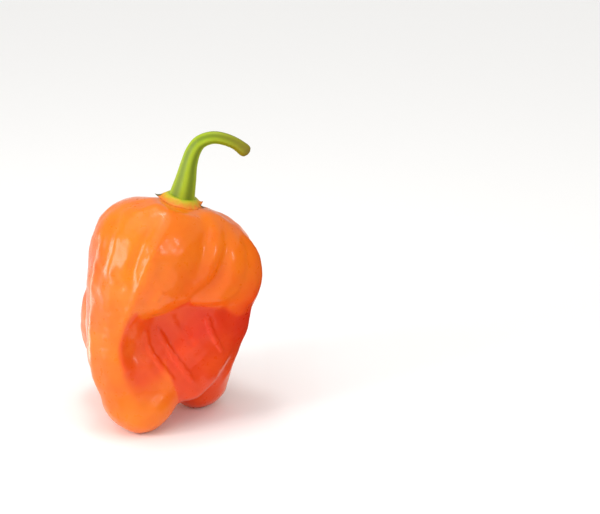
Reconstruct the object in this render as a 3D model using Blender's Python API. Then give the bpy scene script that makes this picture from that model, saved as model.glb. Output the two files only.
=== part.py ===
"""Habanero pepper: one folded, lobed fruit with a ragged calyx and a bent stem.

The pod stands on the tips of three of its lobes. +Z is up, the open fold faces -Y, and the origin
is on the surface that it stands on, under the middle of its outline. Every length below is in
millimetres, and the finished meshes are scaled to metres.

The fruit's skin is the zero level of one distance function, in which egg-shaped lobes and
tapering limbs melt into each other. A subdivided cube is blown up on to that level.
"""
import math

import bmesh
import bpy
import numpy as np
from mathutils import Vector

MILLIMETRE = 0.001

# The plan's middle and the gap that touching pieces keep
MIDDLE = (-0.5, 0.08, 0.0)
GAP = 0.3

# Inner lobes: the heart of the pod and what shows behind and below its mantle
HEART = dict(top=(3.0, 0.8, 50.2), tip=(-1.0, 2.0, 6.0), width=14.0, depth=13.0)
RIGHT_FOOT = [(8.0, 2.0, 33.0, 10.0), (9.0, 1.5, 25.0, 9.3), (6.5, 1.8, 15.0, 8.4), (5.4, 3.2, 6.8, 7.3)]
BACK_LEFT = [(-8.0, 8.0, 40.0, 8.0), (-10.0, 8.0, 30.0, 8.8), (-12.4, 7.0, 19.0, 9.4), (-9.5, 9.0, 7.7, 8.2)]
BACK = [(3.0, 8.0, 37.5, 9.3), (3.0, 10.0, 28.0, 9.5), (3.0, 9.5, 16.0, 8.0)]
FOLD = [(9.0, -3.5, 22.0, 6.0), (6.6, -5.6, 14.0, 5.0), (4.2, -7.6, 10.0, 3.8)]
WEB = dict(top=(9.0, -1.0, 34.0), tip=(-2.0, -9.5, 6.0), width=9.0, depth=6.5, facing=20.0)
POCKET = [(11.0, -13.0, 29.0, 3.6), (5.5, -14.6, 27.5, 4.6), (0.0, -15.5, 23.0, 4.4)]

# Mantle: the broad front panel, its foot, the bay under its lip, the dome above and its rolled rim
FRONT_LEFT = [(-6.6, -1.5, 40.3, 11.3), (-8.6, -6.5, 30.0, 10.0), (-9.8, -9.0, 19.0, 9.2), (-8.0, -11.0, 9.5, 8.0)]
FOOT = dict(top=(-7.4, -11.0, 16.0), tip=(-6.2, -12.0, -0.2), width=7.6, depth=7.0)
BAY = dict(top=(8.0, -13.0, 38.0), tip=(-2.0, -33.0, 8.0), width=14.0, depth=11.5)
CURL = [(4.0, -17.0, 30.0, 4.5), (-2.0, -18.5, 27.0, 5.0), (-5.0, -19.4, 22.5, 5.3), (-4.3, -21.4, 17.5, 5.0),
        (-3.0, -25.0, 13.5, 4.0)]
DOME = dict(top=(3.0, -3.0, 52.0), tip=(-9.5, -12.3, 29.0), width=11.2, depth=10.5)
RIM = [(7.9, -4.0, 46.6, 2.6), (9.4, -6.5, 44.5, 2.6), (9.5, -8.5, 42.2, 2.7), (8.5, -9.7, 39.7, 2.8),
       (6.8, -10.4, 37.3, 2.8), (4.5, -10.8, 35.4, 2.8), (2.2, -10.8, 33.8, 2.8)]

# Shoulder: the lobes on the right, of which the nose overhangs the fold
NOSE = [(11.0, -1.6, 43.2, 3.9), (12.5, -4.2, 40.6, 4.4), (12.8, -5.6, 37.8, 4.6), (12.0, -6.5, 34.9, 4.5),
        (9.8, -7.5, 33.2, 4.2), (7.0, -8.4, 33.0, 3.7)]
SIDE = [(11.0, 0.8, 42.8, 4.4), (13.2, -0.4, 41.0, 4.7), (14.8, -1.4, 37.8, 5.1), (15.3, -2.2, 34.0, 5.2),
        (13.6, -2.2, 29.0, 5.0)]
SHOULDER = dict(top=(10.0, 3.0, 44.5), tip=(12.0, 0.0, 23.0), width=11.0, depth=9.5, facing=80.0)

# Dimple in the crown, where the calyx sits
DIMPLE = dict(top=(5.0, -3.4, 63.0), tip=(2.0, -3.4, 51.2), width=9.0, depth=9.0)

# Blends that change with height (axis 2) or from left to right (axis 0): (place, blend) pairs
BAY_BLEND = (2, [(10.0, 12.0), (18.0, 3.0)])
CURL_BLEND = (2, [(11.0, 12.0), (17.0, 1.5)])
DOME_BLEND = (0, [(-13.0, 12.0), (-3.0, 2.5)])
HIND_BLEND = (2, [(7.0, 9.0), (20.0, 3.0)])
MANTLE_BLEND = (2, [(12.0, 5.0), (24.0, 3.0), (30.0, 2.0), (38.0, 2.0), (47.0, 8.0)])
RIM_BLEND = 3.0
SHOULDER_BLEND = (2, [(41.0, 1.5), (45.0, 3.0), (49.0, 7.0)])
FLOOR_BLEND = 0.8
FLAT_LIMIT = 0.3

# Ribs and valleys: lines of (azimuth in degrees, height) on the skin, with their rise and width
RELIEF = {
    "left valley": dict(line=[(-60, 52), (-50, 49.4), (-48, 47.5), (-46, 45.1), (-44, 42), (-43, 37)],
                        rise=-0.6, width=1.5),
    "middle valley": dict(line=[(-6, 52.6), (-13, 49.9), (-18, 47.3), (-21, 44.2), (-22, 41.5), (-23, 38)],
                          rise=-0.6, width=1.1),
    "middle rib": dict(line=[(3, 51), (-6, 46.5), (-11, 42), (-16, 37.5), (-22, 33), (-29, 28), (-35, 21)],
                       rise=0.8, width=1.9),
    "left edge rib": dict(line=[(-56, 44), (-55, 38), (-55, 32), (-54, 25), (-52, 18), (-52, 11), (-54, 5)],
                          rise=0.35, width=1.6),
    "shoulder crease": dict(line=[(52, 28.9), (61, 27.8), (73, 26.9), (87, 26)], rise=-0.5, width=1.4),
    "right valley": dict(line=[(85, 46), (93, 42), (97, 34), (95, 25)], rise=-0.7, width=1.9),
    "back right valley": dict(line=[(125, 46), (130, 40), (132, 30), (138, 18)], rise=-1.2, width=2.3),
    "back rib": dict(line=[(150, 46), (153, 38), (156, 28)], rise=0.5, width=2.4),
    "back valley": dict(line=[(172, 47), (178, 40), (182, 30), (186, 20)], rise=-0.8, width=1.8),
    "left side valley": dict(line=[(-88, 48), (-84, 42), (-78, 33), (-74, 24)], rise=-0.6, width=1.8),
    "left side rib": dict(line=[(-108, 46), (-110, 38), (-112, 30)], rise=0.5, width=2.2),
}
RELIEF_FADE = 0.3

# Mesh of the fruit: cuts along each edge of the cube, and the turns that even out its net
CUBE_CUTS = 26
CUBE_CENTRE = (0.0, 0.0, 25.0)
EVEN_TURNS = 14

# Calyx: a thin saucer laid over the crown, with dry teeth (azimuth, reach, half width, lift)
CALYX_FOOT = (0.9, -0.2, 45.2)
CALYX_AXIS = (0.25, 0.03, 0.97)
CALYX_RADIUS = 4.8
CALYX_TEETH = [(-97, 1.5, 12, 0.3), (-62, 0.6, 14, 0.1), (-24, 0.5, 12, 0.0), (12, 0.7, 13, 0.1),
               (47, 0.9, 11, 0.3), (84, 1.4, 12, 0.2), (121, 0.8, 14, 0.2), (160, 1.1, 13, 0.3),
               (-163, 0.7, 12, 0.1), (-130, 1.0, 13, 0.4)]
COLLAR_RADIUS = 3.2
COLLAR_HEIGHT = 1.3
RIM_THICKNESS = 0.8
CALYX_SEGMENTS = 60
CALYX_RINGS = 10

# Stem: (x, y, z, radius) along its middle, from above the collar to the cut end
STEM_BASE_RADIUS = 2.9
STEM = [(3.65, 0.0, 56.2, 2.35), (4.43, -0.1, 59.85, 1.9), (5.45, -0.25, 62.95, 1.7), (7.05, -0.4, 65.15, 1.55),
        (9.77, -0.6, 66.2, 1.43), (12.5, -0.8, 65.9, 1.38), (15.0, -0.9, 64.85, 1.36), (16.8, -1.0, 63.5, 1.5)]
STEM_RIBS = 5
STEM_RIB_DEPTH = 0.09
STEM_PROFILE_POINTS = 20
STEM_RESOLUTION = 3


def clear_scene():
    """Remove the objects that the file opened with."""
    for item in list(bpy.data.objects):
        bpy.data.objects.remove(item)


def add_material(name, colour, roughness):
    """A Principled material with one colour."""
    material = bpy.data.materials.new(name)
    material.use_nodes = True
    shader = material.node_tree.nodes["Principled BSDF"]
    shader.inputs["Base Color"].default_value = (*colour, 1.0)
    shader.inputs["Roughness"].default_value = roughness
    shader.inputs["Metallic"].default_value = 0.0
    material.diffuse_color = (*colour, 1.0)
    return material


# Shapes given by their distance


def join(a, b, blend):
    """Union of two distances, with a soft fillet about as wide as the blend."""
    near = np.maximum(blend - np.abs(a - b), 0.0) / blend
    return np.minimum(a, b) - near ** 3 * blend / 6


def scoop(a, b, blend):
    """Take shape b out of shape a, with the same soft fillet."""
    return -join(-a, b, blend)


def blend_at(points, blend):
    """The blend at each point, read off its (place, blend) pairs along one axis."""
    axis, pairs = blend
    return np.interp(points[:, axis], [pair[0] for pair in pairs], [pair[1] for pair in pairs])


def unit(vector):
    """The vector at length one."""
    vector = np.array(vector, dtype=float)
    return vector / np.linalg.norm(vector)


def outward(azimuth):
    """The level direction of an azimuth: 0 is the front (-Y) and 90 the right (+X)."""
    angle = np.radians(azimuth)
    return np.stack([np.sin(angle), -np.cos(angle), np.zeros_like(angle)], axis=-1)


def egg(points, top, tip, width, depth, facing=0.0):
    """Distance to an ellipsoid from top to tip, so wide across and so deep towards its facing."""
    top = np.array(top)
    tip = np.array(tip)
    along = unit(tip - top)
    across = unit(np.cross(along, outward(facing)))
    out = np.cross(across, along)
    local = (points - (top + tip) / 2) @ np.stack([across, out, along], axis=1)
    radii = np.array([width, depth, np.linalg.norm(tip - top) / 2])
    scaled = np.linalg.norm(local / radii, axis=1)
    slope = np.linalg.norm(local / radii ** 2, axis=1)
    return scaled * (scaled - 1) / np.maximum(slope, 1e-9)


def smooth_line(knots, steps):
    """A Catmull-Rom line through the knots, which may have any number of columns."""
    knots = np.array(knots, dtype=float)
    knots = np.vstack([2 * knots[0] - knots[1], knots, 2 * knots[-1] - knots[-2]])
    rows = []
    for before, start, end, after in zip(knots, knots[1:], knots[2:], knots[3:]):
        for t in np.linspace(0, 1, steps, endpoint=False):
            bend = (2 * before - 5 * start + 4 * end - after) * t ** 2
            twist = (3 * start - before - 3 * end + after) * t ** 3
            rows.append(0.5 * (2 * start + (end - before) * t + bend + twist))
    rows.append(knots[-2])
    return np.array(rows)


def limb(points, balls, steps=8):
    """Distance to what a ball fills as it travels through its (x, y, z, radius) places."""
    path = smooth_line(balls, steps)
    nearest = np.full(len(points), np.inf)
    for start, end in zip(path[:-1], path[1:]):
        step = end[:3] - start[:3]
        share = np.clip((points - start[:3]) @ step / (step @ step), 0, 1)
        away = np.linalg.norm(points - start[:3] - share[:, None] * step, axis=1)
        nearest = np.minimum(nearest, away - start[3] - share * (end[3] - start[3]))
    return nearest


# The pod


def inner_lobes(points):
    """The heart, the hind lobes, the right foot, and the web and pocket under the mantle's lip."""
    shape = egg(points, **HEART)
    shape = join(shape, limb(points, RIGHT_FOOT), 5.0)
    shape = join(shape, limb(points, BACK_LEFT), blend_at(points, HIND_BLEND))
    shape = join(shape, limb(points, BACK), 5.0)
    shape = join(shape, limb(points, FOLD), 3.0)
    shape = join(shape, egg(points, **WEB), 4.0)
    return scoop(shape, limb(points, POCKET), 3.0)


def panel(points):
    """The broad front panel and its foot, before the bay is scooped out of it."""
    return join(limb(points, FRONT_LEFT), egg(points, **FOOT), 4.0)


def mantle(points):
    """The front panel, scooped out below its lip, with the dome and its rolled rim over it."""
    shape = scoop(panel(points), egg(points, **BAY), blend_at(points, BAY_BLEND))
    shape = scoop(shape, limb(points, CURL), blend_at(points, CURL_BLEND))
    shape = join(shape, egg(points, **DOME), blend_at(points, DOME_BLEND))
    return join(shape, limb(points, RIM), RIM_BLEND)


def shoulder(points):
    """The nose beside the mantle's rim, the side lobe and the bulk behind them."""
    shape = join(limb(points, NOSE), limb(points, SIDE), 1.5)
    return join(shape, egg(points, **SHOULDER), 3.0)


def lobes(points):
    """Distance to the pod without its ribs and valleys, cut level where it stands."""
    shape = join(inner_lobes(points), mantle(points), blend_at(points, MANTLE_BLEND))
    shape = join(shape, shoulder(points), blend_at(points, SHOULDER_BLEND))
    shape = scoop(shape, egg(points, **DIMPLE), 3.0)
    return scoop(shape, points[:, 2], FLOOR_BLEND)


def lay_on_lobes(line, steps=5, reach=45.0):
    """Points where level rays along the line's azimuths and heights meet the lobes."""
    line = smooth_line(line, steps)
    axis = np.stack([np.zeros(len(line)), np.zeros(len(line)), line[:, 1]], axis=1)
    ray = outward(line[:, 0])
    length = np.full(len(line), reach)
    for _ in range(60):
        length = np.maximum(length - 0.8 * lobes(axis + ray * length[:, None]), 0.0)
    return axis + ray * length[:, None]


def ease(share):
    """A smooth step from 0 to 1."""
    share = np.clip(share, 0, 1)
    return share * share * (3 - 2 * share)


def relief(points, path, rise, width):
    """How far a rib or valley along the path lifts the skin at each point."""
    lift = np.zeros(len(points))
    reach = 3.2 * width
    close = np.all((points > path.min(0) - reach) & (points < path.max(0) + reach), axis=1)
    picked = points[close]
    nearest = np.full(len(picked), np.inf)
    place = np.zeros(len(picked))
    for number, (start, end) in enumerate(zip(path[:-1], path[1:])):
        step = end - start
        share = np.clip((picked - start) @ step / (step @ step), 0, 1)
        away = np.linalg.norm(picked - start - share[:, None] * step, axis=1)
        place = np.where(away < nearest, (number + share) / (len(path) - 1), place)
        nearest = np.minimum(nearest, away)
    fade = ease(place / RELIEF_FADE) * ease((1 - place) / RELIEF_FADE)
    lift[close] = rise * fade * np.exp(-(nearest / width) ** 2)
    return lift


RELIEF_PATHS = {name: lay_on_lobes(entry["line"]) for name, entry in RELIEF.items()}


def skin(points):
    """Distance to the finished skin of the fruit."""
    shape = lobes(points)
    for name, entry in RELIEF.items():
        shape = shape - relief(points, RELIEF_PATHS[name], entry["rise"], entry["width"])
    return scoop(shape, points[:, 2], FLOOR_BLEND)


# Meshes


def slope_of(points, step=0.02):
    """The skin's distance at the points and its gradient there."""
    here = skin(points)
    columns = [(skin(points + step * axis) - here) / step for axis in np.eye(3)]
    return here, np.stack(columns, axis=1)


def step_to_skin(here, slope, most=1.5):
    """The move that brings points with this distance and gradient on to the skin."""
    move = -here[:, None] * slope / np.maximum((slope ** 2).sum(1, keepdims=True), 0.2)
    length = np.linalg.norm(move, axis=1, keepdims=True)
    return move * np.minimum(1.0, most / np.maximum(length, 1e-9))


def blow_up(directions, edges):
    """Move a ball's points on to the skin and even out the net between them."""
    centre = np.array(CUBE_CENTRE)
    length = np.full(len(directions), 45.0)
    for _ in range(30):
        length = np.maximum(length - 0.85 * skin(centre + directions * length[:, None]), 0.5)
    points = centre + directions * length[:, None]
    degree = np.bincount(edges.ravel(), minlength=len(points))[:, None]
    for _ in range(EVEN_TURNS):
        total = np.zeros_like(points)
        np.add.at(total, edges[:, 0], points[edges[:, 1]])
        np.add.at(total, edges[:, 1], points[edges[:, 0]])
        here, slope = slope_of(points)
        pull = total / degree - points
        squared = np.maximum((slope ** 2).sum(1, keepdims=True), 0.2)
        pull -= (pull * slope).sum(1, keepdims=True) * slope / squared
        points = points + 0.5 * pull + step_to_skin(here, slope)
    for _ in range(2):
        points = points + step_to_skin(*slope_of(points))
    return points


def add_piece(name, bm, points, material, collection):
    """Give the mesh its points in millimetres, scale it to metres and link it as a piece."""
    for vert, point in zip(bm.verts, (points - np.array(MIDDLE)) * MILLIMETRE):
        vert.co = Vector(point)
    bmesh.ops.recalc_face_normals(bm, faces=bm.faces)
    mesh = bpy.data.meshes.new(name)
    bm.to_mesh(mesh)
    bm.free()
    mesh.shade_smooth()
    mesh.materials.append(material)
    piece = bpy.data.objects.new(name, mesh)
    collection.objects.link(piece)
    return piece


def add_fruit(collection):
    """The pod, from a subdivided cube that is rounded and then blown up on to the skin."""
    bm = bmesh.new()
    bmesh.ops.create_cube(bm, size=2.0)
    bmesh.ops.subdivide_edges(bm, edges=bm.edges, cuts=CUBE_CUTS, use_grid_fill=True)
    directions = np.tan(np.array([vert.co for vert in bm.verts]) * math.pi / 4)
    directions /= np.linalg.norm(directions, axis=1, keepdims=True)
    edges = np.array([[vert.index for vert in edge.verts] for edge in bm.edges])
    points = blow_up(directions, edges)
    points[points[:, 2] < FLAT_LIMIT, 2] = 0.0
    material = add_material("Orange fruit skin", (0.90, 0.17, 0.025), 0.25)
    return add_piece("fruit", bm, points, material, collection)


def calyx_frame():
    """The calyx's seat on the skin, its axis and the two directions across it."""
    axis = unit(CALYX_AXIS)
    right = unit(np.cross(outward(0.0), -axis))
    front = np.cross(right, axis)
    seat = np.array([CALYX_FOOT]) + axis * 12.0
    for _ in range(40):
        seat = seat - axis * 0.8 * skin(seat)[:, None]
    return seat[0], axis, right, front


def climb_to(points, axis, level):
    """Slide points along the axis until they are this far outside the skin."""
    for _ in range(12):
        points = points + axis * (level - skin(points))[:, None] * 0.8
    return points


def tooth_shape(azimuths, column):
    """The sum over the teeth of a smooth peak times one of their sizes."""
    total = np.zeros_like(azimuths)
    for tooth in CALYX_TEETH:
        away = np.abs((azimuths - tooth[0] + 180) % 360 - 180) / tooth[2]
        total += tooth[column] * np.maximum(1 - away, 0.0) ** 0.8
    return total


def add_calyx(collection):
    """The saucer, from a ball whose upper half is its top and whose lower half lies on the crown."""
    seat, axis, right, front = calyx_frame()
    bm = bmesh.new()
    bmesh.ops.create_uvsphere(bm, u_segments=CALYX_SEGMENTS, v_segments=CALYX_RINGS, radius=1.0)
    ball = np.array([vert.co for vert in bm.verts])
    azimuth = np.degrees(np.arctan2(ball[:, 0], -ball[:, 1]))
    latitude = np.arcsin(np.clip(ball[:, 2], -1, 1))
    reach = 1 - np.abs(latitude) / (math.pi / 2)
    radius = reach * (CALYX_RADIUS + tooth_shape(azimuth, 1) * reach ** 2)
    angle = np.radians(azimuth)
    flat = seat + radius[:, None] * (np.sin(angle)[:, None] * right + np.cos(angle)[:, None] * front)
    top = latitude > 1e-4
    rim = np.abs(latitude) <= 1e-4
    lift = tooth_shape(azimuth, 3) * reach ** 3
    level = np.where(top, GAP + RIM_THICKNESS + lift, np.where(rim, GAP + RIM_THICKNESS / 2 + lift, GAP))
    points = climb_to(flat, axis, level)
    collar = np.where(top, ease((CALYX_RADIUS - radius) / (CALYX_RADIUS - COLLAR_RADIUS)), 0.0)
    rise = COLLAR_HEIGHT - (points - seat) @ axis
    points = points + axis * (collar * rise)[:, None]
    material = add_material("Yellow green calyx", (0.55, 0.42, 0.04), 0.55)
    return add_piece("calyx", bm, points, material, collection)


def add_stem(collection):
    """The bent stem: a ribbed outline swept along a curve that leaves the collar squarely."""
    seat, axis, _, _ = calyx_frame()
    base = seat + axis * (COLLAR_HEIGHT + GAP)
    outline_data = bpy.data.curves.new("stem outline", "CURVE")
    outline_data.dimensions = "2D"
    outline = outline_data.splines.new("POLY")
    outline.points.add(STEM_PROFILE_POINTS - 1)
    outline.use_cyclic_u = True
    for number, point in enumerate(outline.points):
        angle = -math.tau * number / STEM_PROFILE_POINTS
        radius = MILLIMETRE * (1 + STEM_RIB_DEPTH * math.cos(STEM_RIBS * angle))
        point.co = (radius * math.cos(angle), radius * math.sin(angle), 0.0, 1.0)
    guide = bpy.data.objects.new("stem outline", outline_data)
    guide.hide_render = True
    guide.display_type = "WIRE"
    collection.objects.link(guide)

    curve = bpy.data.curves.new("stem", "CURVE")
    curve.dimensions = "3D"
    curve.resolution_u = STEM_RESOLUTION
    curve.bevel_mode = "OBJECT"
    curve.bevel_object = guide
    curve.use_fill_caps = True
    spline = curve.splines.new("BEZIER")
    places = [(*base, STEM_BASE_RADIUS), *STEM]
    spline.bezier_points.add(len(places) - 1)
    for point, (x, y, z, radius) in zip(spline.bezier_points, places):
        point.co = (Vector((x, y, z)) - Vector(MIDDLE)) * MILLIMETRE
        point.radius = radius
        point.handle_left_type = "AUTO"
        point.handle_right_type = "AUTO"
    first = spline.bezier_points[0]
    first.handle_left_type = "FREE"
    first.handle_right_type = "FREE"
    first.handle_right = first.co + Vector(axis) * MILLIMETRE
    first.handle_left = first.co - Vector(axis) * MILLIMETRE
    curve.materials.append(add_material("Green stem", (0.30, 0.40, 0.03), 0.5))
    piece = bpy.data.objects.new("stem", curve)
    collection.objects.link(piece)
    return piece


def main():
    """Build the pepper's three pieces in a collection of their own."""
    clear_scene()
    collection = bpy.data.collections.new("Habanero pepper")
    bpy.context.scene.collection.children.link(collection)
    add_fruit(collection)
    add_calyx(collection)
    add_stem(collection)


main()
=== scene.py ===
"""Habanero pepper dressed for its photograph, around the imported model.

The fruit's skin is the zero level of one distance function, in millimetres, in which egg-shaped
lobes and tapering limbs melt into each other. A net is blown up on to that level, made finer, and
laid on the level again with the wrinkles that only a fine net can carry.
"""

import math

import bmesh
import bpy
import numpy as np
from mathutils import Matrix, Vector


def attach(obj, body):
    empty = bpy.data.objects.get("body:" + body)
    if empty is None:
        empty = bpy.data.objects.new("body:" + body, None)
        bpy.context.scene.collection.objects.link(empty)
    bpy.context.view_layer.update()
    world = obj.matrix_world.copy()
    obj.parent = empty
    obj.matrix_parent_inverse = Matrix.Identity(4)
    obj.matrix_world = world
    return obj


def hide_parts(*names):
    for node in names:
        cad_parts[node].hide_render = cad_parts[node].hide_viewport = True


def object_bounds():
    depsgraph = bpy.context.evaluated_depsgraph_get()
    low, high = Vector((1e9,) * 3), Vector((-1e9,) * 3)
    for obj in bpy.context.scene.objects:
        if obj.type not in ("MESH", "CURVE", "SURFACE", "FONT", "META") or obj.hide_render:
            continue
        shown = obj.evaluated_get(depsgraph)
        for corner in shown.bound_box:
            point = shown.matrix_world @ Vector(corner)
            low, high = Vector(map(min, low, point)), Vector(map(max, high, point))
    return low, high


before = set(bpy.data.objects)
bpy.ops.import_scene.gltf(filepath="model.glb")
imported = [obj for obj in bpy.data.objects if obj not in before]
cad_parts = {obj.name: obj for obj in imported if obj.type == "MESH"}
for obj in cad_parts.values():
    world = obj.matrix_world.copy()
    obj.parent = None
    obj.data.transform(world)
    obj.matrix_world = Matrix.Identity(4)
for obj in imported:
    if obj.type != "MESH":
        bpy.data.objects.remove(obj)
CAD_LOW, CAD_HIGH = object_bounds()

MILLIMETRE = 0.001

# The plan's middle, which the finished meshes have at the origin
MIDDLE = (-0.5, 0.08, 0.0)

# Inner lobes: the heart of the pod and what shows behind and below its mantle
HEART = dict(top=(3.0, 0.8, 50.2), tip=(-1.0, 2.0, 6.0), width=14.0, depth=13.0)
RIGHT_FOOT = [(8.0, 2.0, 33.0, 10.0), (9.0, 1.5, 25.0, 9.3), (6.5, 1.8, 15.0, 8.4), (5.4, 3.2, 6.8, 7.3)]
BACK_LEFT = [(-8.0, 8.0, 40.0, 8.0), (-10.0, 8.0, 30.0, 8.8), (-12.4, 7.0, 19.0, 9.4), (-9.5, 9.0, 7.7, 8.2)]
BACK = [(3.0, 8.0, 37.5, 9.3), (3.0, 10.0, 28.0, 9.5), (3.0, 9.5, 16.0, 8.0)]
FOLD = [(9.0, -3.5, 22.0, 6.0), (6.6, -5.6, 14.0, 5.0), (4.2, -7.6, 10.0, 3.8)]
WEB = dict(top=(9.0, -1.0, 34.0), tip=(-2.0, -9.5, 6.0), width=9.0, depth=6.5, facing=20.0)
POCKET = [(11.0, -13.0, 29.0, 3.6), (5.5, -14.6, 27.5, 4.6), (0.0, -15.5, 23.0, 4.4)]

# Mantle: the broad front panel, its foot, the bay under its lip, the dome above and its rolled rim
FRONT_LEFT = [(-6.6, -1.5, 40.3, 11.3), (-8.6, -6.5, 30.0, 10.0), (-9.8, -9.0, 19.0, 9.2),
              (-8.0, -11.0, 9.5, 8.0)]
FOOT = dict(top=(-7.4, -11.0, 16.0), tip=(-6.2, -12.0, -0.2), width=7.6, depth=7.0)
BAY = dict(top=(8.0, -13.0, 38.0), tip=(-2.0, -33.0, 8.0), width=14.0, depth=11.5)
CURL = [(4.0, -17.0, 30.0, 4.5), (-2.0, -18.5, 27.0, 5.0), (-5.0, -19.4, 22.5, 5.3), (-4.3, -21.4, 17.5, 5.0),
        (-3.0, -25.0, 13.5, 4.0)]
DOME = dict(top=(3.0, -3.0, 52.0), tip=(-9.5, -12.3, 29.0), width=11.2, depth=10.5)
RIM = [(7.9, -4.0, 46.6, 2.6), (9.4, -6.5, 44.5, 2.6), (9.5, -8.5, 42.2, 2.7), (8.5, -9.7, 39.7, 2.8),
       (6.8, -10.4, 37.3, 2.8), (4.5, -10.8, 35.4, 2.8), (2.2, -10.8, 33.8, 2.8)]

# Shoulder: the lobes on the right, of which the nose overhangs the fold
NOSE = [(11.0, -1.6, 43.2, 3.9), (12.5, -4.2, 40.6, 4.4), (12.8, -5.6, 37.8, 4.6), (12.0, -6.5, 34.9, 4.5),
        (9.8, -7.5, 33.2, 4.2), (7.0, -8.4, 33.0, 3.7)]
SIDE = [(11.0, 0.8, 42.8, 4.4), (13.2, -0.4, 41.0, 4.7), (14.8, -1.4, 37.8, 5.1), (15.3, -2.2, 34.0, 5.2),
        (13.6, -2.2, 29.0, 5.0)]
SHOULDER = dict(top=(10.0, 3.0, 44.5), tip=(12.0, 0.0, 23.0), width=11.0, depth=9.5, facing=80.0)

# Dimple in the crown, where the calyx sits
DIMPLE = dict(top=(5.0, -3.4, 63.0), tip=(2.0, -3.4, 51.2), width=9.0, depth=9.0)

# Blends between neighbours: how wide the fillet is where they meet
HEART_BLEND = 5.0
FOLD_BLEND = 3.0
WEB_BLEND = 4.0
POCKET_BLEND = 3.0
PANEL_BLEND = 4.0
RIM_BLEND = 3.0
NOSE_BLEND = 1.5
BULK_BLEND = 3.0
DIMPLE_BLEND = 3.0

# Blends that change with height (axis 2) or from left to right (axis 0): (place, blend) pairs
BAY_BLEND = (2, [(10.0, 12.0), (18.0, 3.0)])
CURL_BLEND = (2, [(11.0, 12.0), (17.0, 1.5)])
DOME_BLEND = (0, [(-13.0, 12.0), (-3.0, 2.5)])
HIND_BLEND = (2, [(7.0, 9.0), (20.0, 3.0)])
MANTLE_BLEND = (2, [(12.0, 5.0), (24.0, 3.0), (30.0, 2.0), (38.0, 2.0), (47.0, 8.0)])
SHOULDER_BLEND = (2, [(41.0, 1.5), (45.0, 3.0), (49.0, 7.0)])

# Where it stands: the fillet round its flats, and the height under which a point is pressed flat
FLOOR_BLEND = 0.8
FLAT_LIMIT = 0.3

# Ribs and valleys: lines of (azimuth in degrees, height) on the skin, with their rise and width
RELIEF = {
    "left valley": dict(line=[(-60, 52), (-50, 49.4), (-48, 47.5), (-46, 45.1), (-44, 42), (-43, 37)],
                        rise=-0.6, width=1.5),
    "middle valley": dict(line=[(-6, 52.6), (-13, 49.9), (-18, 47.3), (-21, 44.2), (-22, 41.5), (-23, 38)],
                          rise=-0.6, width=1.1),
    "middle rib": dict(line=[(3, 51), (-6, 46.5), (-11, 42), (-16, 37.5), (-22, 33), (-29, 28), (-35, 21)],
                       rise=0.8, width=1.9),
    "left edge rib": dict(line=[(-56, 44), (-55, 38), (-55, 32), (-54, 25), (-52, 18), (-52, 11), (-54, 5)],
                          rise=0.35, width=1.6),
    "shoulder crease": dict(line=[(52, 28.9), (61, 27.8), (73, 26.9), (87, 26)], rise=-0.5, width=1.4),
    "right valley": dict(line=[(85, 46), (93, 42), (97, 34), (95, 25)], rise=-0.7, width=1.9),
    "back right valley": dict(line=[(125, 46), (130, 40), (132, 30), (138, 18)], rise=-1.2, width=2.3),
    "back rib": dict(line=[(150, 46), (153, 38), (156, 28)], rise=0.5, width=2.4),
    "back valley": dict(line=[(172, 47), (178, 40), (182, 30), (186, 20)], rise=-0.8, width=1.8),
    "left side valley": dict(line=[(-88, 48), (-84, 42), (-78, 33), (-74, 24)], rise=-0.6, width=1.8),
    "left side rib": dict(line=[(-108, 46), (-110, 38), (-112, 30)], rise=0.5, width=2.2),
}

# Share of its length over which a rib or valley dies out at each end, and how many of its widths
# it is worked out to
RELIEF_FADE = 0.3
RELIEF_REACH = 3.2

# Wrinkles too fine for the solid: narrow ribs through places near the skin
WRINKLES = {
    "fold wrinkle": dict(
        line=[(-3.0, -11.9, 25.5), (-0.3, -12.1, 20.2), (2.5, -12.8, 16.2), (5.4, -11.8, 11.4)],
        rise=0.7, width=0.55),
    "left fold wrinkle": dict(
        line=[(-5.1, -13.0, 25.4), (-4.7, -13.7, 21.2), (-2.0, -13.9, 16.7), (1.2, -13.6, 12.3)],
        rise=0.6, width=0.5),
    "right fold wrinkle": dict(
        line=[(8.3, -9.4, 27.4), (8.8, -10.0, 24.9), (9.9, -10.0, 22.0), (12.0, -8.4, 17.2)],
        rise=0.6, width=0.55),
    "fold dint": dict(
        line=[(2.2, -12.5, 28.0), (3.6, -12.2, 24.0), (5.6, -11.8, 20.0)],
        rise=-0.3, width=0.9),
    "rib crest": dict(
        line=[(-1.2, -16.9, 47.5), (-3.0, -18.0, 44.6), (-5.0, -19.1, 40.3), (-6.7, -19.0, 35.6),
              (-8.7, -18.3, 30.6), (-11.0, -18.0, 25.5)],
        rise=0.38, width=0.75),
    "lip nick": dict(
        line=[(-2.8, -17.3, 33.1), (-1.9, -17.6, 34.6), (-0.9, -17.8, 36.1)],
        rise=0.3, width=0.6),
}
WRINKLE_FADE = 0.15

# Beads along the wrinkles: their spacing, and how much each swells the wrinkle
BEAD_LENGTH = 2.6
BEAD_SHARE = 0.3

# Mesh of the fruit: cuts along each edge of the cube, the turns that even out its net and how far
# each one goes, the times that each face is then split in four, and the steps back on to the skin
CUBE_CUTS = 26
CUBE_CENTRE = (0.0, 0.0, 25.0)
EVEN_TURNS = 14
EVEN_SHARE = 0.5
FINER = 2
LANDING_STEPS = 2

# Where rays start that look for the skin from outside, and the least squared slope of a distance
# that a step towards the skin divides by
RAY_REACH = 45.0
LEAST_SLOPE = 0.2

# Unevenness of the skin: waves of these lengths, each with this slope at its steepest
WAVE_LENGTHS = (1.8, 8.0)
WAVE_COUNT = 24
WAVE_SLOPE = 0.026
WAVE_SEED = 7

# How far the fine skin lies inside the solid's, so that its swells stay within the solid's size
SKIN_INSET = 0.08

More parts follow.
